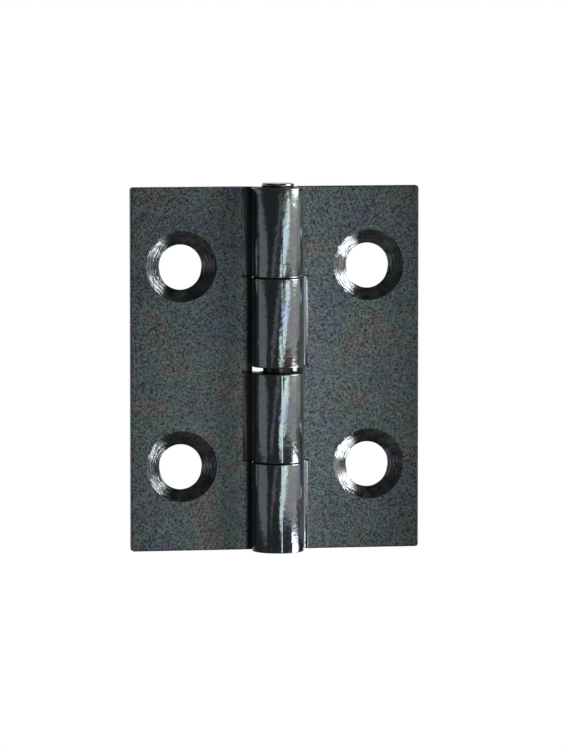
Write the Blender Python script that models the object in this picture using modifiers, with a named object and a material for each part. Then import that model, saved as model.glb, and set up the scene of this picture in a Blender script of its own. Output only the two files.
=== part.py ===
"""A butt hinge of rolled steel strip: two leaves whose knuckles interleave on one pin.

Frame, in metres: +Z runs up the pin, +X towards the right leaf, and the countersunk faces look
towards -Y. The origin is on the pin's axis, half way up the hinge's whole height, pin included.
"""

import math

import bmesh
import bpy
from mathutils import Matrix

MM = 0.001

# Driving dimensions
LEAF_LENGTH = 40.0 * MM
LEAF_REACH = 16.0 * MM  # from the pin's axis to a leaf's outer edge
SHEET = 1.15 * MM
CORNER_RADIUS = 0.3 * MM

PIN_RADIUS = 1.65 * MM
PIN_CLEARANCE = 0.05 * MM  # round the pin, in the knuckles' bores
PIN_PROUD = 0.5 * MM  # above the leaves' top edge
PIN_RECESS = 0.2 * MM  # above the leaves' bottom edge
PIN_ROUNDING = 0.35 * MM

KNUCKLES = 4
SIDE_GAP = 0.16 * MM  # between the upper pair of knuckles, and between the lower pair
MIDDLE_GAP = 0.65 * MM  # between the two pairs
NOTCH_CLEARANCE = 0.21 * MM  # from a leaf's notch to the other leaf's knuckle
ROOT_FILLET = 0.9 * MM  # inside radius of the bend where a leaf sweeps up into its knuckle
ROLL_END_ANGLE = math.radians(52)  # where the rolled strip ends, behind the pin

HOLE_RADIUS = 2.3 * MM
HOLE_INSET = 5.6 * MM  # from a leaf's outer edge to a hole's axis
HOLE_END_INSET = 9.0 * MM  # from a leaf's top or bottom edge to a hole's axis
COUNTERSINK_RADIUS = 3.85 * MM
COUNTERSINK_ANGLE = math.radians(105)
COUNTERSINK_RISE = 0.3 * MM  # the countersinks are drilled later, and sit this much above the holes

# Fits and places that follow from them
BORE_RADIUS = PIN_RADIUS + PIN_CLEARANCE
BARREL_RADIUS = BORE_RADIUS + SHEET
LEAF_BACK = BARREL_RADIUS  # the leaves' backs lie level with the back of the barrel
LEAF_FRONT = LEAF_BACK - SHEET
BEND_DEPTH = LEAF_FRONT - ROOT_FILLET  # how far behind the pin's axis the bend's centre lies
ROOT = math.sqrt((BARREL_RADIUS + ROOT_FILLET) ** 2 - BEND_DEPTH ** 2)  # where a leaf starts to bend
JOIN_ANGLE = math.degrees(math.atan2(BEND_DEPTH, ROOT))  # where the bend meets the barrel
NOTCH_REACH = math.sqrt((BARREL_RADIUS + NOTCH_CLEARANCE) ** 2 - LEAF_FRONT ** 2)
LEAF_TOP = (LEAF_LENGTH - PIN_PROUD) / 2
LEAF_BOTTOM = LEAF_TOP - LEAF_LENGTH
LEAF_MIDDLE = (LEAF_TOP + LEAF_BOTTOM) / 2
HOLE_REACH = LEAF_REACH - HOLE_INSET  # from the pin's axis to a hole's axis
HOLE_SPACING = LEAF_LENGTH - 2 * HOLE_END_INSET
KNUCKLE_GAPS = [SIDE_GAP, MIDDLE_GAP, SIDE_GAP]
KNUCKLE_LENGTH = (LEAF_LENGTH - sum(KNUCKLE_GAPS)) / KNUCKLES

LEFT_KNUCKLES = (0, 2)  # counted from the top
RIGHT_KNUCKLES = (1, 3)

BARREL_SEGMENTS = 64  # a full turn of the barrel
BEND_SEGMENTS = 8
CORNER_SEGMENTS = 4
HOLE_SEGMENTS = 48
CUT_MARGIN = 1.0 * MM  # how far a cutter runs past what it cuts
TIP_SHARE = 0.98  # how far down to its point a countersink's cutter is modelled
WELD_DISTANCE = 0.001 * MM
SHARP_ANGLE = math.radians(30)


def clear_scene():
    for old in list(bpy.data.objects):
        bpy.data.objects.remove(old)


def new_collection(name):
    collection = bpy.data.collections.new(name)
    bpy.context.scene.collection.children.link(collection)
    return collection


def steel_material(name, colour, roughness):
    material = bpy.data.materials.new(name)
    material.use_nodes = True
    shader = material.node_tree.nodes["Principled BSDF"]
    shader.inputs["Base Color"].default_value = (*colour, 1.0)
    shader.inputs["Metallic"].default_value = 1.0
    shader.inputs["Roughness"].default_value = roughness
    return material


def arc(centre, radius, start, end, segments):
    """Points on an arc in the XY plane, both ends included. Angles are in degrees."""
    points = []
    for step in range(segments + 1):
        angle = math.radians(start + (end - start) * step / segments)
        points.append((centre[0] + radius * math.cos(angle), centre[1] + radius * math.sin(angle)))
    return points


def extruded_outline(name, outlines, depth):
    """A mesh object from closed flat outlines, given thickness along its local Z."""
    curve = bpy.data.curves.new(name, "CURVE")
    curve.dimensions = "2D"
    curve.fill_mode = "BOTH"
    curve.extrude = depth / 2
    for points in outlines:
        spline = curve.splines.new("POLY")
        spline.points.add(len(points) - 1)
        spline.use_cyclic_u = True
        for point, (x, y) in zip(spline.points, points):
            point.co = (x, y, 0.0, 1.0)
    flat = bpy.data.objects.new(name + "_curve", curve)
    bpy.context.scene.collection.objects.link(flat)
    graph = bpy.context.evaluated_depsgraph_get()
    mesh = bpy.data.meshes.new_from_object(flat.evaluated_get(graph))
    mesh.name = name
    solid = bpy.data.objects.new(name, mesh)
    solid.matrix_world = flat.matrix_world
    bpy.data.objects.remove(flat)
    weld(mesh)
    return solid


def weld(mesh):
    shape = bmesh.new()
    shape.from_mesh(mesh)
    bmesh.ops.remove_doubles(shape, verts=shape.verts, dist=WELD_DISTANCE)
    bmesh.ops.recalc_face_normals(shape, faces=shape.faces)
    shape.to_mesh(mesh)
    shape.free()


def knuckle_rows():
    """The lowest and highest Z of each knuckle, from the top down."""
    rows = []
    top = LEAF_TOP
    for gap in KNUCKLE_GAPS + [0.0]:
        rows.append((top - KNUCKLE_LENGTH, top))
        top -= KNUCKLE_LENGTH + gap
    return rows


def blank_outline(side, own):
    """A leaf's flat blank seen from the front: its inner edge steps out where a knuckle is rolled up."""
    low_corner = (LEAF_REACH - CORNER_RADIUS, LEAF_BOTTOM + CORNER_RADIUS)
    high_corner = (LEAF_REACH - CORNER_RADIUS, LEAF_TOP - CORNER_RADIUS)
    points = arc(low_corner, CORNER_RADIUS, -90, 0, CORNER_SEGMENTS)
    points += arc(high_corner, CORNER_RADIUS, 0, 90, CORNER_SEGMENTS)
    points.append((ROOT if 0 in own else NOTCH_REACH, LEAF_TOP))
    for number in own:
        low, high = knuckle_rows()[number]
        if number > 0:
            points += [(NOTCH_REACH, high), (ROOT, high)]
        if number < KNUCKLES - 1:
            points += [(ROOT, low), (NOTCH_REACH, low)]
    points.append((ROOT if KNUCKLES - 1 in own else NOTCH_REACH, LEAF_BOTTOM))
    return [(side * x, z) for x, z in points]


def roll_outline(side, overlap):
    """A knuckle's strip seen from above: up off the leaf, over the front of the pin and round behind it."""
    bend = (ROOT, BEND_DEPTH)
    end = math.degrees(ROLL_END_ANGLE) - 360
    turn = round(BARREL_SEGMENTS * (JOIN_ANGLE - end) / 360)
    points = [(ROOT + overlap, LEAF_FRONT)]
    points += arc(bend, ROOT_FILLET, 90, 180 + JOIN_ANGLE, BEND_SEGMENTS)
    points += arc((0, 0), BARREL_RADIUS, JOIN_ANGLE, end, turn)[1:]
    points += arc((0, 0), BORE_RADIUS, end, JOIN_ANGLE, turn)
    points += arc(bend, ROOT_FILLET + SHEET, 180 + JOIN_ANGLE, 90, BEND_SEGMENTS)[1:]
    points.append((ROOT + overlap, LEAF_BACK))
    return [(side * x, y) for x, y in points]


def settle_modifiers(solid):
    """Puts a solid's modifiers into its mesh, then shades it smooth between its sharp edges."""
    graph = bpy.context.evaluated_depsgraph_get()
    finished = bpy.data.meshes.new_from_object(solid.evaluated_get(graph))
    solid.modifiers.clear()
    solid.data = finished
    finished.name = solid.name
    finished.shade_smooth()
    finished.set_sharp_from_angle(angle=SHARP_ANGLE)


def boolean(target, operation, other):
    modifier = target.modifiers.new(f"{operation.lower()} {other.name}", "BOOLEAN")
    modifier.operation = operation
    modifier.solver = "EXACT"
    modifier.object = other


def hide_cutter(cutter, cutters):
    cutters.objects.link(cutter)
    cutter.hide_render = True
    cutter.display_type = "WIRE"


def frustum(name, radius_front, radius_back, front, back):
    """A cone or cylinder along Y, wound with its faces pointing out."""
    mesh = bpy.data.meshes.new(name)
    shape = bmesh.new()
    bmesh.ops.create_cone(
        shape,
        cap_ends=True,
        segments=HOLE_SEGMENTS,
        radius1=radius_front,
        radius2=radius_back,
        depth=back - front,
        matrix=Matrix.Rotation(math.radians(-90), 4, "X"),
    )
    bmesh.ops.recalc_face_normals(shape, faces=shape.faces)
    shape.to_mesh(mesh)
    shape.free()
    return bpy.data.objects.new(name, mesh)


def cut_screw_holes(leaf, side, cutters):
    """Two holes right through a leaf, each opened out by a countersink from the front."""
    front = LEAF_FRONT - CUT_MARGIN
    back = LEAF_BACK + CUT_MARGIN
    slope = math.tan(COUNTERSINK_ANGLE / 2)
    wide = COUNTERSINK_RADIUS + CUT_MARGIN * slope
    tip = LEAF_FRONT + TIP_SHARE * COUNTERSINK_RADIUS / slope
    narrow = wide - (tip - front) * slope
    for row, half in (("top", 0.5), ("bottom", -0.5)):
        z = LEAF_MIDDLE + half * HOLE_SPACING
        hole = frustum(f"{leaf.name}_{row}_hole", HOLE_RADIUS, HOLE_RADIUS, front, back)
        hole.location = (side * HOLE_REACH, (front + back) / 2, z)
        sink = frustum(f"{leaf.name}_{row}_countersink", wide, narrow, front, tip)
        sink.location = (side * HOLE_REACH, (front + tip) / 2, z + COUNTERSINK_RISE)
        for cutter in (hole, sink):
            hide_cutter(cutter, cutters)
            boolean(leaf, "DIFFERENCE", cutter)


def make_leaf(name, side, own, material, parts, cutters):
    """side is 1 for the right leaf and -1 for the left; own lists the knuckles rolled from it."""
    leaf = extruded_outline(name, [blank_outline(side, own)], SHEET)
    leaf.rotation_euler = (math.radians(90), 0, 0)
    leaf.location = (0, (LEAF_FRONT + LEAF_BACK) / 2, 0)
    leaf.data.materials.append(material)
    parts.objects.link(leaf)
    for number in own:
        low, high = knuckle_rows()[number]
        roll = extruded_outline(f"{name}_roll_{number + 1}", [roll_outline(side, SHEET)], high - low)
        roll.location = (0, 0, (low + high) / 2)
        hide_cutter(roll, cutters)
        boolean(leaf, "UNION", roll)
    cut_screw_holes(leaf, side, cutters)
    settle_modifiers(leaf)


def make_pin(material, parts):
    """The pin is turned about Z, with rounded ends."""
    top = LEAF_TOP + PIN_PROUD
    bottom = LEAF_BOTTOM + PIN_RECESS
    inner = PIN_RADIUS - PIN_ROUNDING
    profile = [(0, top)]
    profile += arc((inner, top - PIN_ROUNDING), PIN_ROUNDING, 90, 0, CORNER_SEGMENTS)
    profile += arc((inner, bottom + PIN_ROUNDING), PIN_ROUNDING, 0, -90, CORNER_SEGMENTS)
    profile.append((0, bottom))
    mesh = bpy.data.meshes.new("pin")
    shape = bmesh.new()
    corners = [shape.verts.new((x, 0, z)) for x, z in profile]
    for start, end in zip(corners, corners[1:]):
        shape.edges.new((start, end))
    shape.to_mesh(mesh)
    shape.free()
    pin = bpy.data.objects.new("pin", mesh)
    parts.objects.link(pin)
    pin.data.materials.append(material)
    turn = pin.modifiers.new("turn", "SCREW")
    turn.steps = BARREL_SEGMENTS
    turn.render_steps = BARREL_SEGMENTS
    turn.use_merge_vertices = True
    turn.merge_threshold = WELD_DISTANCE
    settle_modifiers(pin)


def main():
    clear_scene()
    parts = new_collection("butt_hinge")
    cutters = new_collection("cutters")
    leaf_steel = steel_material("plated_leaf_steel", (0.16, 0.19, 0.2), 0.32)
    pin_steel = steel_material("plated_pin_steel", (0.3, 0.32, 0.33), 0.22)
    make_leaf("left_leaf", -1, LEFT_KNUCKLES, leaf_steel, parts, cutters)
    make_leaf("right_leaf", 1, RIGHT_KNUCKLES, leaf_steel, parts, cutters)
    make_pin(pin_steel, parts)


main()
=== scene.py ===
# %% [markdown]
# # A small butt hinge in zinc-plated steel
# The real hinge is three pieces: two stamped leaves whose tabs are rolled into knuckles, and the
# pin that joins them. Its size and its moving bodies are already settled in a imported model. It
# could be rebuilt from nothing here, but then it might not fit that model, so it is loaded first
# as a frame to measure from, and each plain solid is later replaced by a finer one.

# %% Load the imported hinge
import math

import bmesh
import bpy
from mathutils import Matrix, Vector


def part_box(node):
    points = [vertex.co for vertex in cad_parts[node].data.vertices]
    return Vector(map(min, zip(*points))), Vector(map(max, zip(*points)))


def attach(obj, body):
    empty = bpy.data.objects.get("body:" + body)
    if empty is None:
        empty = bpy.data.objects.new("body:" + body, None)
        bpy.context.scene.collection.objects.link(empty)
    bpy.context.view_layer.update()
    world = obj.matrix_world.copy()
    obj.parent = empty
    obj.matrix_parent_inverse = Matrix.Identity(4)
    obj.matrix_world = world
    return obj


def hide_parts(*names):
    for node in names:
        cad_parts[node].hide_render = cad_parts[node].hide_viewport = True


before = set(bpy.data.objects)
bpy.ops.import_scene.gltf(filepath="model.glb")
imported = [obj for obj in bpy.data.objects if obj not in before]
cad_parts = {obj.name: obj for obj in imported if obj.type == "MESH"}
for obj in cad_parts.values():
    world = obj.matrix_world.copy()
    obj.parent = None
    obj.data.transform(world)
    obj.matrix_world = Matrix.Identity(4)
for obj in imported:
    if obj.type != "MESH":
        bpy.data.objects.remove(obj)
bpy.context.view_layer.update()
MM = 0.001

# %% [markdown]
# ## The camera
# A small part is best seen from well back through a long lens, so that its edges stay parallel.
# A short lens close up would show more of the barrel's side, but would make the near knuckles
# look too big. The camera stands a little to the left and a little above, and aims just past the
# pin, which leaves the hinge slightly off the middle of the frame.

# %% Place the camera
CAMERA_DISTANCE = 600 * MM
CAMERA_SWING = math.radians(-9.5)  # from straight in front, towards the left leaf
CAMERA_LIFT = math.radians(5)
FRAMED_HEIGHT = 82.2 * MM  # what the camera takes in at the pin
AIM_RIGHT = 0.5 * MM
AIM_UP = -0.85 * MM

toward_camera = Vector(
    (
        math.sin(CAMERA_SWING) * math.cos(CAMERA_LIFT),
        -math.cos(CAMERA_SWING) * math.cos(CAMERA_LIFT),
        math.sin(CAMERA_LIFT),
    )
)
turned = toward_camera.to_track_quat("Z", "Y")
aim = turned @ Vector((AIM_RIGHT, AIM_UP, 0))

camera_data = bpy.data.cameras.new("camera")
camera_data.lens = camera_data.sensor_width * CAMERA_DISTANCE / FRAMED_HEIGHT
camera = bpy.data.objects.new("camera", camera_data)
camera.location = aim + toward_camera * CAMERA_DISTANCE
camera.rotation_euler = turned.to_euler()
bpy.context.scene.collection.objects.link(camera)
bpy.context.scene.camera = camera
print("lens:", round(camera_data.lens, 1), "mm")

# %% [markdown]
# ## Sizes
# A hinge maker works from a few sizes: the strip's thickness, the pin's diameter, the leaf's
# length and reach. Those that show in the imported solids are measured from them, and the rest,
# such as the gaps between knuckles, are written here in millimetres.

# %% Measure the frame
leaf_low, leaf_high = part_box("left_leaf")
pin_low, pin_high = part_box("pin")
BARREL_RADIUS = leaf_high.x
LEAF_REACH = -leaf_low.x
LEAF_BACK = leaf_high.y
LEAF_TOP = leaf_high.z
LEAF_BOTTOM = leaf_low.z
LEAF_MIDDLE = (LEAF_TOP + LEAF_BOTTOM) / 2
PIN_RADIUS = pin_high.x

SHEET = 1.15 * MM
BORE_RADIUS = BARREL_RADIUS - SHEET
LEAF_FRONT = LEAF_BACK - SHEET
CORNER_RADIUS = 0.3 * MM
ROOT_FILLET = 0.9 * MM
BEND_DEPTH = LEAF_FRONT - ROOT_FILLET  # how far behind the pin's axis the bend's centre lies
ROOT = math.sqrt((BARREL_RADIUS + ROOT_FILLET) ** 2 - BEND_DEPTH**2)  # where a leaf starts to bend
JOIN_ANGLE = math.degrees(math.atan2(BEND_DEPTH, ROOT))  # where the bend meets the barrel
NOTCH_CLEARANCE = 0.21 * MM
NOTCH_REACH = math.sqrt((BARREL_RADIUS + NOTCH_CLEARANCE) ** 2 - LEAF_FRONT**2)
ROLL_END = 52 - 360  # degrees round the pin from the leaf, over the front and behind
print("barrel", round(2 * BARREL_RADIUS / MM, 2), "mm, strip", round(SHEET / MM, 2), "mm")

# %% Rows of knuckles
SIDE_GAP = 0.06 * MM  # the knuckles all but touch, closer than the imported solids
MIDDLE_GAP = 0.65 * MM
KNUCKLE_GAPS = [SIDE_GAP, MIDDLE_GAP, SIDE_GAP]
KNUCKLES = 4
KNUCKLE_LENGTH = (LEAF_TOP - LEAF_BOTTOM - sum(KNUCKLE_GAPS)) / KNUCKLES
LEFT_KNUCKLES = (0, 2)  # counted from the top
RIGHT_KNUCKLES = (1, 3)

knuckle_rows = []
row_top = LEAF_TOP
for gap in KNUCKLE_GAPS + [0.0]:
    knuckle_rows.append((row_top - KNUCKLE_LENGTH, row_top))
    row_top -= KNUCKLE_LENGTH + gap
print("knuckles, mm:", [(round(low / MM, 2), round(high / MM, 2)) for low, high in knuckle_rows])

# %% [markdown]
# ## Strip with rounded edges
# Steel strip is sheared and tumbled before it is plated, so no edge on it is sharp: each one
# carries a rounding of about a tenth of a millimetre, and that rounding is what catches the
# light. A Bevel modifier could round the finished leaf, but it tangles where small faces meet
# at a knuckle's root. A flat curve has a bevel of its own, which rounds any outline cleanly,
# so each piece of strip starts as a curve and is turned into a mesh.

# %% Outlines into strip
EDGE_ROUNDING = 0.12 * MM
EDGE_STEPS = 2  # the curve's bevel resolution
WELD_DISTANCE = 0.001 * MM


def arc(centre, radius, start, end, segments):
    """Points on an arc in a plane, both ends included. Angles are in degrees."""
    points = []
    for step in range(segments + 1):
        angle = math.radians(start + (end - start) * step / segments)
        points.append((centre[0] + radius * math.cos(angle), centre[1] + radius * math.sin(angle)))
    return points


def strip_from_outline(name, points, depth, place):
    """A closed mesh object: the outline given depth along local Z, with rounded edges."""
    curve = bpy.data.curves.new(name, "CURVE")
    curve.dimensions = "2D"
    curve.fill_mode = "BOTH"
    curve.extrude = depth / 2 - EDGE_ROUNDING
    curve.bevel_depth = EDGE_ROUNDING
    curve.bevel_resolution = EDGE_STEPS
    curve.offset = -EDGE_ROUNDING
    spline = curve.splines.new("POLY")
    spline.points.add(len(points) - 1)
    spline.use_cyclic_u = True
    for point, (x, y) in zip(spline.points, points):
        point.co = (x, y, 0.0, 1.0)
    drawn = bpy.data.objects.new(name, curve)
    bpy.context.scene.collection.objects.link(drawn)
    graph = bpy.context.evaluated_depsgraph_get()
    mesh = bpy.data.meshes.new_from_object(drawn.evaluated_get(graph))
    bpy.data.objects.remove(drawn)
    shape = bmesh.new()
    shape.from_mesh(mesh)
    bmesh.ops.remove_doubles(shape, verts=shape.verts, dist=WELD_DISTANCE)
    bmesh.ops.recalc_face_normals(shape, faces=shape.faces)
    bmesh.ops.transform(shape, matrix=place, verts=shape.verts)
    shape.to_mesh(mesh)
    shape.free()
    solid = bpy.data.objects.new(name, mesh)
    bpy.context.scene.collection.objects.link(solid)
    return solid


# %% [markdown]
# ## A leaf's blank
# The blank is punched from strip: a rectangle with small rounded corners outside, and an inner
# edge that steps back where the other leaf's knuckles turn. Drawing it from the front and
# giving it the strip's thickness is the same operation as the punch makes.

# %% Draw the blank
CORNER_SEGMENTS = 6


def blank_outline(side, own):
    """side is 1 for the right leaf and -1 for the left; own lists the knuckles rolled from it."""
    low_corner = (LEAF_REACH - CORNER_RADIUS, LEAF_BOTTOM + CORNER_RADIUS)
    high_corner = (LEAF_REACH - CORNER_RADIUS, LEAF_TOP - CORNER_RADIUS)
    points = arc(low_corner, CORNER_RADIUS, -90, 0, CORNER_SEGMENTS)
    points += arc(high_corner, CORNER_RADIUS, 0, 90, CORNER_SEGMENTS)
    points.append((ROOT if 0 in own else NOTCH_REACH, LEAF_TOP))
    for number in own:
        low, high = knuckle_rows[number]
        if number > 0:
            points += [(NOTCH_REACH, high), (ROOT, high)]
        if number < len(knuckle_rows) - 1:
            points += [(ROOT, low), (NOTCH_REACH, low)]
    points.append((ROOT if len(knuckle_rows) - 1 in own else NOTCH_REACH, LEAF_BOTTOM))
    return [(side * x, z) for x, z in points]


# The outline is drawn in X and Y, and this stands it up in X and Z at the leaf's depth.
STAND_UP = Matrix.Translation((0, (LEAF_FRONT + LEAF_BACK) / 2, 0)) @ Matrix.Rotation(
    math.radians(90), 4, "X"
)
print("blank corners:", len(blank_outline(1, RIGHT_KNUCKLES)))

# %% [markdown]
# ## A rolled knuckle
# Each tab is curled round a mandrel: it bends up off the leaf, passes over the front of the pin
# and ends behind it, where the strip's own edge stays visible as a seam. A plain tube would
# miss both the seam and the soft fillet at the root, so the strip's section is drawn whole and
# given the knuckle's length.

# %% Draw the roll
BARREL_SEGMENTS = 128  # a full turn
BEND_SEGMENTS = 12
LIP_SEGMENTS = 4
LIP = 0.15 * MM  # rounding on the strip's end
TUCK = 0.01 * MM  # how far the roll tucks inside the blank, so that no two faces coincide


def strip_end(angle):
    """The rounded end of the curled strip, from its outer face to its inner one."""
    points = []
    for radius, first in ((BARREL_RADIUS - LIP, 0), (BORE_RADIUS + LIP, 90)):
        for step in range(LIP_SEGMENTS + 1):
            turn = math.radians(first + 90 * step / LIP_SEGMENTS)
            at = math.radians(angle) + LIP * (1 - math.sin(turn)) / BARREL_RADIUS
            out = radius + LIP * math.cos(turn)
            points.append((out * math.cos(at), out * math.sin(at)))
    return points


def roll_outline(side):
    bend = (ROOT, BEND_DEPTH)
    stop = ROLL_END + math.degrees(LIP / BARREL_RADIUS)
    turn = round(BARREL_SEGMENTS * (JOIN_ANGLE - stop) / 360)
    points = [(ROOT + SHEET, LEAF_FRONT + TUCK)]
    points += arc(bend, ROOT_FILLET, 90, 180 + JOIN_ANGLE, BEND_SEGMENTS)
    points += arc((0, 0), BARREL_RADIUS, JOIN_ANGLE, stop, turn)[1:-1]
    points += strip_end(ROLL_END)
    points += arc((0, 0), BORE_RADIUS, stop, JOIN_ANGLE, turn)[1:]
    points += arc(bend, ROOT_FILLET + SHEET, 180 + JOIN_ANGLE, 90, BEND_SEGMENTS)[1:]
    points.append((ROOT + SHEET, LEAF_BACK - TUCK))
    return [(side * x, y) for x, y in points]


print("roll corners:", len(roll_outline(1)))

# %% [markdown]
# ## Drilled and countersunk holes
# Each leaf has two screw holes. The hole is punched first and the countersink is drilled after
# it, a little high on this hinge, so the cone shows wider above the hole than below. The cone
# could be faked with a dark ring, but it has to catch light on one side only, so it is cut with
# a turned cutter. The cutter flares at its rim, which leaves the tiny burr-free break that a
# deburring tool makes.

# %% Turn the cutters
HOLE_RADIUS = 2.3 * MM
HOLE_REACH = 10.4 * MM  # from the pin's axis to a hole's axis
HOLE_SPACING = 22.0 * MM
COUNTERSINK_RADIUS = 3.85 * MM
COUNTERSINK_ANGLE = 105  # degrees, across the whole cone
COUNTERSINK_SLOPE = math.tan(math.radians(COUNTERSINK_ANGLE) / 2)
COUNTERSINK_RISE = 0.3 * MM
RIM_BREAK = 0.06 * MM
RIM_FLARE = 3.0  # how fast the broken rim widens, against the depth
HOLE_SEGMENTS = 96
PAST = 1.0 * MM  # how far a cutter runs past the strip


def turned_solid(name, profile, segments, place):
    """A closed solid of revolution about local Z, from (radius, height) points end to end."""
    mesh = bpy.data.meshes.new(name)
    shape = bmesh.new()
    corners = [shape.verts.new((radius, 0, height)) for radius, height in profile]
    edges = [shape.edges.new(pair) for pair in zip(corners, corners[1:])]
    bmesh.ops.spin(
        shape,
        geom=corners + edges,
        cent=(0, 0, 0),
        axis=(0, 0, 1),
        angle=2 * math.pi,
        steps=segments,
    )
    bmesh.ops.remove_doubles(shape, verts=shape.verts, dist=WELD_DISTANCE)
    bmesh.ops.recalc_face_normals(shape, faces=shape.faces)
    bmesh.ops.transform(shape, matrix=place, verts=shape.verts)
    shape.to_mesh(mesh)
    shape.free()
    solid = bpy.data.objects.new(name, mesh)
    bpy.context.scene.collection.objects.link(solid)
    return solid


def hole_cutters(side, z):
    """The punch and the countersink for one hole. Their local Z runs into the leaf's front."""
    into_leaf = Matrix.Rotation(math.radians(-90), 4, "X")
    depth = SHEET + PAST
    punch = [(0, -PAST), (HOLE_RADIUS, -PAST), (HOLE_RADIUS, depth), (0, depth)]
    rim = COUNTERSINK_RADIUS + RIM_BREAK
    broken = RIM_BREAK / (RIM_FLARE - COUNTERSINK_SLOPE)
    sink = [
        (0, -PAST),
        (rim + PAST * RIM_FLARE, -PAST),
        (rim - broken * RIM_FLARE, broken),
        (0, COUNTERSINK_RADIUS / COUNTERSINK_SLOPE),
    ]
    cutters = []
    for name, profile, rise in (("punch", punch, 0), ("countersink", sink, COUNTERSINK_RISE)):
        place = Matrix.Translation((side * HOLE_REACH, LEAF_FRONT, z + rise)) @ into_leaf
        cutters.append(turned_solid(name, profile, HOLE_SEGMENTS, place))
    return cutters


print("countersinks", round(2 * COUNTERSINK_RADIUS / MM, 1), "mm across")

# %% [markdown]
# ## Join and cut a leaf
# The blank and its rolled tabs are one piece of steel, so they are joined into one closed mesh
# with an exact Boolean, and the holes are cut from it. The modifiers are then settled into the
# mesh, because sharp edges can only be marked on faces that exist.

# %% Make a leaf
SHARP_ANGLE = math.radians(40)
FLAT = 0.99995  # a face that looks this squarely along an axis is a flat one


def combine(target, operation, other):
    modifier = target.modifiers.new(operation.lower(), "BOOLEAN")
    modifier.operation = operation
    modifier.solver = "EXACT"
    modifier.object = other


def settle(solid, helpers):
    """Puts the modifiers into the mesh, removes the helper solids and shades between creases."""
    graph = bpy.context.evaluated_depsgraph_get()
    finished = bpy.data.meshes.new_from_object(solid.evaluated_get(graph))
    solid.modifiers.clear()
    solid.data = finished
    for helper in helpers:
        bpy.data.objects.remove(helper)
    finished.name = solid.name
    finished.shade_smooth()
    finished.set_sharp_from_angle(angle=SHARP_ANGLE)
    for face in finished.polygons:
        if max(abs(part) for part in face.normal) > FLAT:
            face.use_smooth = False


def make_leaf(name, side, own):
    leaf = strip_from_outline(name, blank_outline(side, own), SHEET, STAND_UP)
    helpers = []
    for number in own:
        low, high = knuckle_rows[number]
        place = Matrix.Translation((0, 0, (low + high) / 2))
        helpers.append(strip_from_outline("roll", roll_outline(side), high - low - 2 * TUCK, place))
        combine(leaf, "UNION", helpers[-1])
    for half in (0.5, -0.5):
        for cutter in hole_cutters(side, LEAF_MIDDLE + half * HOLE_SPACING):
            helpers.append(cutter)
            combine(leaf, "DIFFERENCE", cutter)
    settle(leaf, helpers)
    return leaf


left_leaf = make_leaf("left_leaf_finished", -1, LEFT_KNUCKLES)
right_leaf = make_leaf("right_leaf_finished", 1, RIGHT_KNUCKLES)
for leaf in (left_leaf, right_leaf):
    print(leaf.name, len(leaf.data.polygons), "faces")

# %% [markdown]
# ## The pin
# The pin is a length of wire, cropped and tumbled. It fills the bores and shows at the top, in
# the gap between the middle knuckles and a hair's width in the other gaps. It is turned from a
# profile with rounded ends, which a plain cylinder would not have. The proud end is also spread
# a little, because the blow that seats the pin upsets it.

# %% Turn the pin
PIN_ROUNDING = 0.25 * MM
SPREAD = 0.12 * MM  # how far the proud end stands out past the shaft
SPREAD_START = 0.04 * MM  # above the top knuckle
HEAD_START = -30  # degrees, where the head's rounding starts under its widest place
inner = PIN_RADIUS - PIN_ROUNDING
pin_profile = [(0, pin_low.z)]
pin_profile += arc((inner, pin_low.z + PIN_ROUNDING), PIN_ROUNDING, -90, 0, CORNER_SEGMENTS)
pin_profile.append((PIN_RADIUS, LEAF_TOP + SPREAD_START))
head = (inner + SPREAD, pin_high.z - PIN_ROUNDING)
pin_profile += arc(head, PIN_ROUNDING, HEAD_START, 90, CORNER_SEGMENTS)
pin_profile.append((0, pin_high.z))


def put_faces_in_order(mesh):
    """Spinning a profile leaves the faces in an order that changes from run to run."""
    shape = bmesh.new()
    shape.from_mesh(mesh)
    ordered = sorted(shape.faces, key=lambda face: sorted(vert.index for vert in face.verts))
    ranks = {face: rank for rank, face in enumerate(ordered)}
    shape.faces.sort(key=lambda face: ranks[face])
    shape.to_mesh(mesh)
    shape.free()


pin = turned_solid("pin_finished", pin_profile, BARREL_SEGMENTS, Matrix.Identity(4))
put_faces_in_order(pin.data)
settle(pin, [])
print("pin:", round(2 * PIN_RADIUS / MM, 2), "x", round((pin_high.z - pin_low.z) / MM, 2), "mm")

# %% [markdown]
# ## Building a material
# A material is a few nodes: where on the piece a point lies, a pattern drawn there, and what
# the pattern does to colour, roughness and height. Patterns could be read from an image file,
# but nodes keep them sharp at any size. One helper adds a node with its settings and links, and
# another turns a hex colour into the linear values that Blender works in.

# %% Node and colour helpers


def add(tree, kind, values=None, links=None, stops=(), **settings):
    """Adds a node. values and links are keyed by input name or number; stops fill a ramp."""
    node = tree.nodes.new(kind)
    for name, value in settings.items():
        setattr(node, name, value)
    for socket, value in (values or {}).items():
        node.inputs[socket].default_value = value
    for socket, source in (links or {}).items():
        tree.links.new(source, node.inputs[socket])
    if stops:
        ramp = node.color_ramp.elements
        for position, colour in stops:
            ramp.new(position).color = colour
        ramp.remove(ramp[-1])  # a new ramp comes with a stop at each end
        ramp.remove(ramp[0])
    return node


def linear(code):
    """An sRGB hex colour such as "#8fa0a5" as linear red, green, blue and alpha."""
    channels = []
    for start in (1, 3, 5):
        value = int(code[start : start + 2], 16) / 255
        channels.append(value / 12.92 if value <= 0.04045 else ((value + 0.055) / 1.055) ** 2.4)
    return (*channels, 1.0)


def grey(value):
    return (value, value, value, 1.0)


print("mid grey, linear:", round(linear("#808080")[0], 3))

# %% [markdown]
# Every piece of this hinge is metal, so the three materials start the same way: a fully
# metallic shader, with Blender's usual IOR, and the place of each point measured in millimetres.
# The pieces' own coordinates are used, so a pattern stays on the metal when the hinge swings.

# %% Start a metal
NOISE_RANGE = {"From Min": 0.3, "From Max": 0.7}  # where most of a noise texture's values lie


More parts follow.
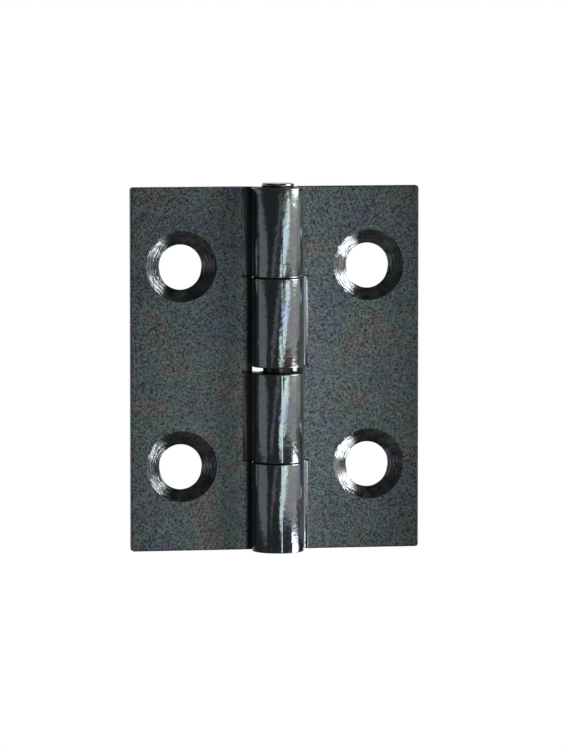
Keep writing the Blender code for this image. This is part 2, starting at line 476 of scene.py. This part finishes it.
def start_metal(name):
    """A metal material, its nodes, its shader, and each point's place in mm."""
    material = bpy.data.materials.new(name)
    material.use_nodes = True
    tree = material.node_tree
    shader = tree.nodes["Principled BSDF"]
    shader.inputs["Metallic"].default_value = 1.0
    place = add(tree, "ShaderNodeTexCoord")
    in_mm = add(
        tree,
        "ShaderNodeVectorMath",
        {"Scale": 1 / MM},
        {0: place.outputs["Object"]},
        operation="SCALE",
    )
    return material, tree, shader, in_mm.outputs["Vector"]


print("materials start metallic, mapped in mm")

# %% [markdown]
# ## Zinc plate on rolled strip
# The leaves are cold-rolled steel strip, zinc plated and passivated clear. Plating follows the
# strip's matt grain, so a flat leaf looks satin grey. Where the tab was curled under pressure
# the die has burnished it, so a knuckle is much shinier than a leaf. Two materials would meet
# in a hard line, so one material does both and mixes them by where a point lies: near the
# barrel, or lifted off the leaf's front by the bend.

# %% Where the strip is burnished
RUBBED_TO = 0.65  # mm out from the barrel's face
RUBBED_FADE = 0.15  # mm
LIFTED = 0.001  # mm in front of the leaf, where the bend starts to count as burnished
LIFTED_FADE = 0.004  # mm


def burnish_mask(tree, reach, depth):
    """1 where the die has burnished the strip and 0 on a flat leaf, from two places in mm."""
    edge = BARREL_RADIUS / MM + RUBBED_TO
    near = add(
        tree,
        "ShaderNodeMapRange",
        {"From Min": edge + RUBBED_FADE, "From Max": edge},
        {"Value": reach},
        interpolation_type="SMOOTHSTEP",
    )
    front = LEAF_FRONT / MM - LIFTED
    lifted = add(
        tree,
        "ShaderNodeMapRange",
        {"From Min": front, "From Max": front - LIFTED_FADE},
        {"Value": depth},
        interpolation_type="SMOOTHSTEP",
    )
    either = add(
        tree,
        "ShaderNodeMath",
        {},
        {0: near.outputs["Result"], 1: lifted.outputs["Result"]},
        operation="MAXIMUM",
    )
    return either.outputs["Value"]


print("burnished to", RUBBED_TO, "mm from the barrel")

# %% [markdown]
# The bore, the knuckles' ends and a band of leaf just beside the barrel are painted nearly black and
# made dull: a painted shade for the deep, narrow gaps there. A ramp over the distance from the pin says
# how much of the metal's own colour shows. It starts just inside the barrel's face, and leaves that
# face unshaded.

# %% Where shade is painted
PAINTED_SHADE_LEVEL = 0.2  # how bright the metal is painted in the painted shade, which also sets how dull it is there
INSIDE = 0.1  # mm inside the barrel's face, where the ramp starts
UNSHADED_STOPS = (
    (0.05, grey(PAINTED_SHADE_LEVEL)),
    (0.09, grey(1.0)),
    (0.12, grey(1.0)),
    (0.18, grey(PAINTED_SHADE_LEVEL)),
    (0.76, grey(PAINTED_SHADE_LEVEL)),
    (0.94, grey(1.0)),
)


def unshaded_share(tree, reach):
    """1 where the metal keeps its colour, and the painted shade's level where shade is painted, by the
    distance from the pin's axis in mm.
    """
    beyond = add(
        tree,
        "ShaderNodeMath",
        {1: BARREL_RADIUS / MM - INSIDE},
        {0: reach},
        operation="SUBTRACT",
    )
    ramp = add(
        tree, "ShaderNodeValToRGB", {}, {"Fac": beyond.outputs["Value"]}, stops=UNSHADED_STOPS
    )
    return ramp.outputs["Color"]


print("dirty to", round(UNSHADED_STOPS[-1][0] - INSIDE, 2), "mm from the barrel")

# %% [markdown]
# The passivate is a film thin enough to tint the zinc: faint violet, blue and green clouds a few
# millimetres across, with smaller spots where the film is a little thicker or thinner. The size of the
# clouds and spots is given below. Real plating grain is about 0.02 mm, too fine to show here, so it is
# drawn at 0.22 mm.

# %% Colours of the film
GRAIN = 0.22  # mm, coarsened from about 0.02 mm
CLOUD = 5.0  # mm across a patch of tint
FILM_SPOT = 0.45  # mm across a thicker or thinner spot
FILM_TINT = 0.6  # how strongly such a spot is coloured
FILM_STOPS = (
    (0.36, linear("#9ca5b6")),
    (0.46, linear("#a6abb0")),
    (0.54, linear("#a0b1b1")),
    (0.64, linear("#b2abad")),
)


def film_colour(tree, spot):
    clouds = add(tree, "ShaderNodeTexNoise", {"Scale": 1 / CLOUD, "Detail": 3}, {"Vector": spot})
    tint = add(tree, "ShaderNodeValToRGB", {}, {"Fac": clouds.outputs["Fac"]}, stops=FILM_STOPS)
    film = add(tree, "ShaderNodeTexNoise", {"Scale": 1 / FILM_SPOT, "Detail": 1}, {"Vector": spot})
    fringes = add(
        tree,
        "ShaderNodeVectorMath",
        {1: (FILM_TINT,) * 3, 2: (1 - FILM_TINT / 2,) * 3},
        {0: film.outputs["Color"]},
        operation="MULTIPLY_ADD",
    )
    tinted = add(
        tree,
        "ShaderNodeVectorMath",
        {},
        {0: tint.outputs["Color"], 1: fringes.outputs["Vector"]},
        operation="MULTIPLY",
    )
    return tinted.outputs["Vector"]


print("film:", len(FILM_STOPS), "tints")

# %% [markdown]
# A painted light and shade runs across the leaves: brightest close beside the barrel, a painted
# reflection of the barrel's lit flank, and darker towards the outer edges, most of all on the right,
# with a darker band left of the barrel, a painted shadow of the barrel. The values below were set one
# by one and stand for how this studio lights the plate.

# %% Painted light and shade across the leaf, and speckle
SATIN = 0.5  # how bright the satin plate is beside the burnished
LIGHT_AND_SHADE_ACROSS = (  # mm from the pin's axis, and the share of that brightness there
    (-16, 0.9),
    (-13, 1.0),
    (-8, 1.02),
    (-5.5, 0.7),
    (-4.4, 0.75),
    (-3.7, 1.1),
    (3.5, 1.08),
    (8, 0.84),
    (12, 0.66),
    (16, 0.42),
)


def plate_brightness(tree, across, grain, burnish):
    """How bright the plate is: painted light and shade and speckle on the leaf, even on the barrel."""
    span = LEAF_REACH / MM + 1
    over = add(
        tree, "ShaderNodeMapRange", {"From Min": -span, "From Max": span}, {"Value": across}
    )
    stops = [((place + span) / (2 * span), grey(share * SATIN)) for place, share in LIGHT_AND_SHADE_ACROSS]
    painted_light = add(tree, "ShaderNodeValToRGB", {}, {"Fac": over.outputs["Result"]}, stops=stops)
    speckle = add(
        tree,
        "ShaderNodeMapRange",
        {**NOISE_RANGE, "To Min": 0.2, "To Max": 1.8},
        {"Value": grain},
    )
    calmed = add(
        tree, "ShaderNodeMix", {"B": 1.0}, {"Factor": burnish, "A": speckle.outputs["Result"]}
    )
    shade = add(
        tree, "ShaderNodeMix", {"B": 1.0}, {"Factor": burnish, "A": painted_light.outputs["Color"]}
    )
    strength = add(
        tree,
        "ShaderNodeMath",
        {},
        {0: calmed.outputs["Result"], 1: shade.outputs["Result"]},
        operation="MULTIPLY",
    )
    return strength.outputs["Value"]


print("wear:", len(LIGHT_AND_SHADE_ACROSS), "places across the hinge")

# %% [markdown]
# The satin plate has a roughness of about 0.4 and the burnished barrel about 0.15. Where shade is
# painted into the colour, in the bore and beside the barrel, the metal is made far rougher than either.
# The grain moves the first two a little, which keeps a highlight from looking painted on.

# %% Roughness
SATIN_ROUGHNESS = {"To Min": 0.38, "To Max": 0.48}
BRIGHT_ROUGHNESS = {"To Min": 0.13, "To Max": 0.19}
SHADED_ROUGHNESS = 0.7


def plate_roughness(tree, grain, burnish, unshaded):
    satin = add(
        tree, "ShaderNodeMapRange", {**NOISE_RANGE, **SATIN_ROUGHNESS}, {"Value": grain}
    )
    bright = add(
        tree, "ShaderNodeMapRange", {**NOISE_RANGE, **BRIGHT_ROUGHNESS}, {"Value": grain}
    )
    rough = add(
        tree,
        "ShaderNodeMix",
        {},
        {"Factor": burnish, "A": satin.outputs["Result"], "B": bright.outputs["Result"]},
    )
    dulled = add(
        tree,
        "ShaderNodeMix",
        {"A": SHADED_ROUGHNESS},
        {"Factor": unshaded, "B": rough.outputs["Result"]},
    )
    return dulled.outputs["Result"]


print("roughness:", SATIN_ROUGHNESS["To Min"], "satin,", BRIGHT_ROUGHNESS["To Min"], "bright")

# %% [markdown]
# The curling die leaves long streaks along a knuckle and shallow dents all over it, and they
# make its bright line ragged. The leaf has only the grain. Modelling them would take a very
# fine mesh for heights of a few hundredths of a millimetre, so they are bump.

# %% Ripples and grain
RIPPLE = 0.7  # mm between the burnished knuckle's ripples
STREAK = 6.0  # how many times longer than wide a die streak is
GRAIN_HEIGHT = 0.006 * MM
RIPPLE_HEIGHT = 0.03 * MM


def plate_normal(tree, spot, grain, burnish):
    long_way = add(
        tree, "ShaderNodeVectorMath", {1: (1, 1, 1 / STREAK)}, {0: spot}, operation="MULTIPLY"
    )
    streaks = add(
        tree,
        "ShaderNodeTexNoise",
        {"Scale": 1 / RIPPLE, "Detail": 1},
        {"Vector": long_way.outputs["Vector"]},
    )
    dents = add(tree, "ShaderNodeTexNoise", {"Scale": 1 / RIPPLE, "Detail": 2}, {"Vector": spot})
    waves = add(
        tree,
        "ShaderNodeMath",
        {},
        {0: streaks.outputs["Fac"], 1: dents.outputs["Fac"]},
        operation="ADD",
    )
    on_barrel = add(
        tree, "ShaderNodeMath", {}, {0: waves.outputs["Value"], 1: burnish}, operation="MULTIPLY"
    )
    rippled = add(
        tree, "ShaderNodeBump", {"Distance": RIPPLE_HEIGHT}, {"Height": on_barrel.outputs["Value"]}
    )
    pitted = add(
        tree,
        "ShaderNodeBump",
        {"Distance": GRAIN_HEIGHT},
        {"Height": grain, "Normal": rippled.outputs["Normal"]},
    )
    return pitted.outputs["Normal"]


print("ripples", RIPPLE, "mm apart")

# %% [markdown]
# The parts are now put together. Colour is the film's tint, times the painted shade in the bore and
# beside the barrel, times how bright the plate is there, which carries the painted light and shade
# across the leaf. The same grain drives speckle, roughness and height, because on real plate they are
# one thing.

# %% Zinc-plated strip


def zinc_plated_strip():
    material, tree, shader, spot = start_metal("zinc_plated_cold_rolled_strip")
    parts = add(tree, "ShaderNodeSeparateXYZ", {}, {"Vector": spot})
    level = add(tree, "ShaderNodeVectorMath", {1: (1, 1, 0)}, {0: spot}, operation="MULTIPLY")
    reach = add(tree, "ShaderNodeVectorMath", {}, {0: level.outputs["Vector"]}, operation="LENGTH")
    texture = add(tree, "ShaderNodeTexNoise", {"Scale": 1 / GRAIN, "Detail": 2}, {"Vector": spot})
    grain = texture.outputs["Fac"]
    burnish = burnish_mask(tree, reach.outputs["Value"], parts.outputs["Y"])
    # Painted shade: the bore, the knuckles' ends and a band beside the barrel are darkened, and made
    # duller.
    unshaded = unshaded_share(tree, reach.outputs["Value"])
    # Painted light and shade: brighter beside the barrel, darker outward and in a band left of it.
    brightness = plate_brightness(tree, parts.outputs["X"], grain, burnish)
    film = film_colour(tree, spot)
    shaded_film = add(tree, "ShaderNodeVectorMath", {}, {0: film, 1: unshaded}, operation="MULTIPLY")
    colour = add(
        tree,
        "ShaderNodeVectorMath",
        {},
        {0: shaded_film.outputs["Vector"], "Scale": brightness},
        operation="SCALE",
    )
    tree.links.new(colour.outputs["Vector"], shader.inputs["Base Color"])
    tree.links.new(plate_roughness(tree, grain, burnish, unshaded), shader.inputs["Roughness"])
    tree.links.new(plate_normal(tree, spot, grain, burnish), shader.inputs["Normal"])
    return material


zinc_strip = zinc_plated_strip()
print("material:", zinc_strip.name, "with", len(zinc_strip.node_tree.nodes), "nodes")

# %% [markdown]
# ## The drilled cones
# A countersink is cut after rolling and then plated, and the drill leaves fine rings round the
# hole. They spread light around the cone, so one side glows while the rest stays dark. The
# rings need each hole's own centre. The four holes lie evenly about the leaf's middle, so
# folding the coordinates there puts all four on one centre. A drill feeds about 0.05 mm a turn;
# the rings are drawn at 0.3 mm so that they show.

# %% Distance from a hole's centre


def distance_from_hole(tree, spot):
    """How far a point is from the middle of its countersink, in mm."""
    raised = add(
        tree,
        "ShaderNodeVectorMath",
        {1: (0, 0, (LEAF_MIDDLE + COUNTERSINK_RISE) / MM)},
        {0: spot},
        operation="SUBTRACT",
    )
    folded = add(
        tree, "ShaderNodeVectorMath", {}, {0: raised.outputs["Vector"]}, operation="ABSOLUTE"
    )
    centred = add(
        tree,
        "ShaderNodeVectorMath",
        {1: (HOLE_REACH / MM, 0, HOLE_SPACING / 2 / MM)},
        {0: folded.outputs["Vector"]},
        operation="SUBTRACT",
    )
    flat = add(
        tree,
        "ShaderNodeVectorMath",
        {1: (1, 0, 1)},
        {0: centred.outputs["Vector"]},
        operation="MULTIPLY",
    )
    radius = add(tree, "ShaderNodeVectorMath", {}, {0: flat.outputs["Vector"]}, operation="LENGTH")
    return radius.outputs["Value"]


print("folded onto a hole", HOLE_REACH / MM, "mm from the pin")

# %% [markdown]
# A drill chatters, so its rings aren't true circles. A noise is added to the distance before it
# becomes rings, and the same noise makes some patches brighter and a little rougher.

# %% Zinc-plated drilled steel
RING = 0.3  # mm between tool rings, coarsened from about 0.05 mm
RING_HEIGHT = 0.006 * MM
CHATTER = 0.8  # mm across a patch of chatter
CHATTER_SHIFT = 0.6  # mm that chatter moves a ring
DRILLED_ROUGHNESS = {"To Min": 0.16, "To Max": 0.26}
DRILLED_STOPS = ((0.35, linear("#70757a")), (0.6, linear("#a0a5a8")))


def zinc_plated_drilled_steel():
    material, tree, shader, spot = start_metal("zinc_plated_drilled_steel")
    chatter = add(tree, "ShaderNodeTexNoise", {"Scale": 1 / CHATTER, "Detail": 3}, {"Vector": spot})
    wobble = add(
        tree,
        "ShaderNodeMath",
        {1: CHATTER_SHIFT},
        {0: chatter.outputs["Fac"], 2: distance_from_hole(tree, spot)},
        operation="MULTIPLY_ADD",
    )
    phase = add(
        tree,
        "ShaderNodeMath",
        {1: 2 * math.pi / RING},
        {0: wobble.outputs["Value"]},
        operation="MULTIPLY",
    )
    rings = add(tree, "ShaderNodeMath", {}, {0: phase.outputs["Value"]}, operation="SINE")
    bump = add(
        tree, "ShaderNodeBump", {"Distance": RING_HEIGHT}, {"Height": rings.outputs["Value"]}
    )
    patches = add(
        tree, "ShaderNodeValToRGB", {}, {"Fac": chatter.outputs["Fac"]}, stops=DRILLED_STOPS
    )
    rough = add(
        tree,
        "ShaderNodeMapRange",
        {**NOISE_RANGE, **DRILLED_ROUGHNESS},
        {"Value": chatter.outputs["Fac"]},
    )
    tree.links.new(bump.outputs["Normal"], shader.inputs["Normal"])
    tree.links.new(patches.outputs["Color"], shader.inputs["Base Color"])
    tree.links.new(rough.outputs["Result"], shader.inputs["Roughness"])
    return material


drilled_zinc = zinc_plated_drilled_steel()
print("material:", drilled_zinc.name, "with", len(drilled_zinc.node_tree.nodes), "nodes")

# %% [markdown]
# ## The pin's wire
# The pin is drawn wire, bright plated. Drawing pulls fine scratches along it, so it has long faint
# streaks. Below the leaves' top edge its colour is painted nearly black, a painted shade for the narrow
# gaps between the knuckles where it shows, so only the proud end keeps its full colour.

# %% Bright plated wire
WIRE_STREAK = 0.15  # mm across a drawing line, coarsened from about 0.01 mm
WIRE_STRETCH = 10  # how many times longer than wide a drawing line is
WIRE_HEIGHT = 0.004 * MM
SHADED_SHAFT = 0.12  # how bright the shaft is painted below the leaves' top, a painted shade, beside the proud end
SHADE_FADE = 0.1  # mm either side of the leaves' top edge
WIRE_ROUGHNESS = {"To Min": 0.15, "To Max": 0.24}
WIRE_STOPS = ((0.3, linear("#a3a9ac")), (0.7, linear("#c6cccd")))


def bright_plated_wire():
    material, tree, shader, spot = start_metal("bright_plated_drawn_wire")
    drawn = add(
        tree, "ShaderNodeVectorMath", {1: (1, 1, 1 / WIRE_STRETCH)}, {0: spot}, operation="MULTIPLY"
    )
    texture = add(
        tree,
        "ShaderNodeTexNoise",
        {"Scale": 1 / WIRE_STREAK, "Detail": 2},
        {"Vector": drawn.outputs["Vector"]},
    )
    lines = texture.outputs["Fac"]
    colour = add(tree, "ShaderNodeValToRGB", {}, {"Fac": lines}, stops=WIRE_STOPS)
    parts = add(tree, "ShaderNodeSeparateXYZ", {}, {"Vector": spot})
    top = LEAF_TOP / MM
    # Painted shade: the shaft's colour is darkened below the leaves' top edge.
    unshaded = add(
        tree,
        "ShaderNodeMapRange",
        {"From Min": top - SHADE_FADE, "From Max": top + SHADE_FADE, "To Min": SHADED_SHAFT},
        {"Value": parts.outputs["Z"]},
    )
    darkened_wire = add(
        tree,
        "ShaderNodeVectorMath",
        {},
        {0: colour.outputs["Color"], "Scale": unshaded.outputs["Result"]},
        operation="SCALE",
    )
    rough = add(tree, "ShaderNodeMapRange", {**NOISE_RANGE, **WIRE_ROUGHNESS}, {"Value": lines})
    bump = add(tree, "ShaderNodeBump", {"Distance": WIRE_HEIGHT}, {"Height": lines})
    tree.links.new(darkened_wire.outputs["Vector"], shader.inputs["Base Color"])
    tree.links.new(rough.outputs["Result"], shader.inputs["Roughness"])
    tree.links.new(bump.outputs["Normal"], shader.inputs["Normal"])
    return material


wire = bright_plated_wire()
print("material:", wire.name, "with", len(wire.node_tree.nodes), "nodes")

# %% [markdown]
# ## Dress the pieces
# The drilled finish belongs only to the walls of the holes. Those faces are found by where they
# are: inside a countersink's rim, and not on the leaf's flat front or back.

# %% Give each face its finish
SQUARE_ON = 0.999  # a face that looks this squarely forwards or back is no hole's wall


def in_a_hole(face):
    if abs(face.normal.y) > SQUARE_ON:
        return False
    across = abs(face.center.x) - HOLE_REACH
    up = abs(face.center.z - LEAF_MIDDLE) - HOLE_SPACING / 2
    return math.hypot(across, up) < COUNTERSINK_RADIUS + COUNTERSINK_RISE + RIM_BREAK


for leaf in (left_leaf, right_leaf):
    leaf.data.materials.clear()
    leaf.data.materials.append(zinc_strip)
    leaf.data.materials.append(drilled_zinc)
    walls = [face for face in leaf.data.polygons if in_a_hole(face)]
    for face in leaf.data.polygons:
        face.material_index = 0
    for face in walls:
        face.material_index = 1
    print(leaf.name, len(walls), "drilled faces")
pin.data.materials.clear()
pin.data.materials.append(wire)

# %% [markdown]
# ## Tie the pieces to the moving bodies
# The left leaf holds the pin and stays still, and the right leaf swings. Each finished piece rides with
# its body and takes the place of its plain solid.

# %% Ride and replace
for piece, node, body, finish in (
    (left_leaf, "left_leaf", "fixed_leaf", "plated_leaf"),
    (right_leaf, "right_leaf", "moving_leaf", "plated_leaf"),
    (pin, "pin", "fixed_leaf", "plated_pin"),
):
    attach(piece, body)
    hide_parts(node)
    print(piece.name, "rides on", body)

# %% [markdown]
# ## The studio
# Shiny metal shows its surroundings, so the lighting is a matter of what stands round the
# hinge. A dark room in front makes the leaves read as steel and not as paper. A tall bright
# panel to the right draws the white line down the barrel, softer cards fill the sides, and the
# background is plain white. Lamps could do the same, but glowing cards are easier to reason
# about: a card's strength is simply how bright it looks in the metal.

# %% Floor and background
FLOOR_DROP = 150 * MM
FLOOR_HALF = 600 * MM
CORNERS = ((-1, -1), (1, -1), (1, 1), (-1, 1))
ROOM_GLOW = 0.035  # how bright the dark room looks in the metal


def plain_card(name, corners, material):
    mesh = bpy.data.meshes.new(name)
    mesh.from_pydata(corners, [], [tuple(range(len(corners)))])
    mesh.materials.append(material)
    card = bpy.data.objects.new(name, mesh)
    bpy.context.scene.collection.objects.link(card)
    return card


paper = bpy.data.materials.new("matt_white_paper")
paper.use_nodes = True
paper_shader = paper.node_tree.nodes["Principled BSDF"]
paper_shader.inputs["Base Color"].default_value = linear("#f4f4f4")
paper_shader.inputs["Roughness"].default_value = 0.9
floor = plain_card(
    "floor",
    [(x * FLOOR_HALF, y * FLOOR_HALF, -FLOOR_DROP) for x, y in CORNERS],
    paper,
)
floor.visible_glossy = False

world = bpy.data.worlds.new("studio")
world.use_nodes = True
bpy.context.scene.world = world
sky = world.node_tree
backdrop = sky.nodes["Background"]
backdrop.inputs["Color"].default_value = linear("#ffffff")
room = add(sky, "ShaderNodeBackground", {"Color": linear("#ffffff"), "Strength": ROOM_GLOW})
ray = add(sky, "ShaderNodeLightPath")
mix = add(
    sky,
    "ShaderNodeMixShader",
    {},
    {0: ray.outputs["Is Glossy Ray"], 1: backdrop.outputs["Background"], 2: room.outputs["Background"]},
)
sky.links.new(mix.outputs["Shader"], sky.nodes["World Output"].inputs["Surface"])
print("floor", round(FLOOR_DROP / MM), "mm below the pin's middle")

# %% [markdown]
# ## Glowing cards
# Each card faces the pin from a place given by its distance and two angles. The azimuth is
# counted from straight in front, to the right, which is how the metal sees it. The three cards
# that draw lines down the barrel stand close and lean to one side, so the lines lean as well.

# %% Make one card


def glowing_card(name, azimuth, elevation, distance, width, height, tilt, strength, colour):
    """The distance is in mm, and the other sizes are degrees as seen from the hinge."""
    glow = bpy.data.materials.new(name)
    glow.use_nodes = True
    tree = glow.node_tree
    tree.nodes.remove(tree.nodes["Principled BSDF"])
    light = add(tree, "ShaderNodeEmission", {"Color": linear(colour), "Strength": strength})
    tree.links.new(light.outputs["Emission"], tree.nodes["Material Output"].inputs["Surface"])
    swing = math.radians(azimuth)
    lift = math.radians(elevation)
    outward = Vector(
        (math.sin(swing) * math.cos(lift), -math.cos(swing) * math.cos(lift), math.sin(lift))
    )
    facing = outward.to_track_quat("Z", "Y").to_matrix().to_4x4()
    leaning = Matrix.Rotation(math.radians(tilt), 4, "Z")
    stand = Matrix.Translation(outward * distance * MM) @ facing @ leaning
    half_wide = distance * MM * math.tan(math.radians(width / 2))
    half_high = distance * MM * math.tan(math.radians(height / 2))
    corners = [stand @ Vector((x * half_wide, y * half_high, 0)) for x, y in CORNERS]
    card = plain_card(name, corners, glow)
    card.visible_camera = False
    card.visible_shadow = False
    return card


print("cards light the metal, hidden from the camera and casting no shadow")

# %% Stand the cards
CARDS = [
    # name, azimuth, elevation, distance, width, height, tilt, strength, colour
    ("bright_panel", 21.5, -1, 100, 14, 54, -50, 1.65, "#f0fffd"),
    ("right_near_card", 51, 0, 300, 66, 26, 0, 0.54, "#fff6ee"),
    ("right_far_card", 95, 0, 300, 20, 16, 0, 0.46, "#fff6ee"),
    ("right_upper_card", 77, 26, 300, 32, 31, 0, 6.0, "#ffffff"),
    ("right_lower_card", 77, -33, 300, 32, 31, 0, 6.0, "#ffffff"),
    ("left_card", -95, 0, 100, 76, 34, -20, 0.25, "#f2f4fa"),
    ("front_left_strip", -17, 0, 100, 7, 60, -50, 0.22, "#ffffff"),
    ("top_card", 0, 90, 150, 14, 14, 0, 1.5, "#ffffff"),
    ("low_front_card", 0, -50, 130, 80, 30, 0, 0.1, "#ffffff"),
    ("low_rear_card", 180, -50, 130, 80, 36, 0, 0.35, "#ffffff"),
    ("rear_left_card", -155, 15, 300, 40, 60, 0, 0.6, "#ffffff"),
    ("rear_right_card", 160, 15, 300, 30, 60, 0, 1.0, "#ffffff"),
]
for card in CARDS:
    glowing_card(*card)
    print(card[0], "at", card[1], "degrees")

bpy.context.scene.view_settings.view_transform = "Standard"
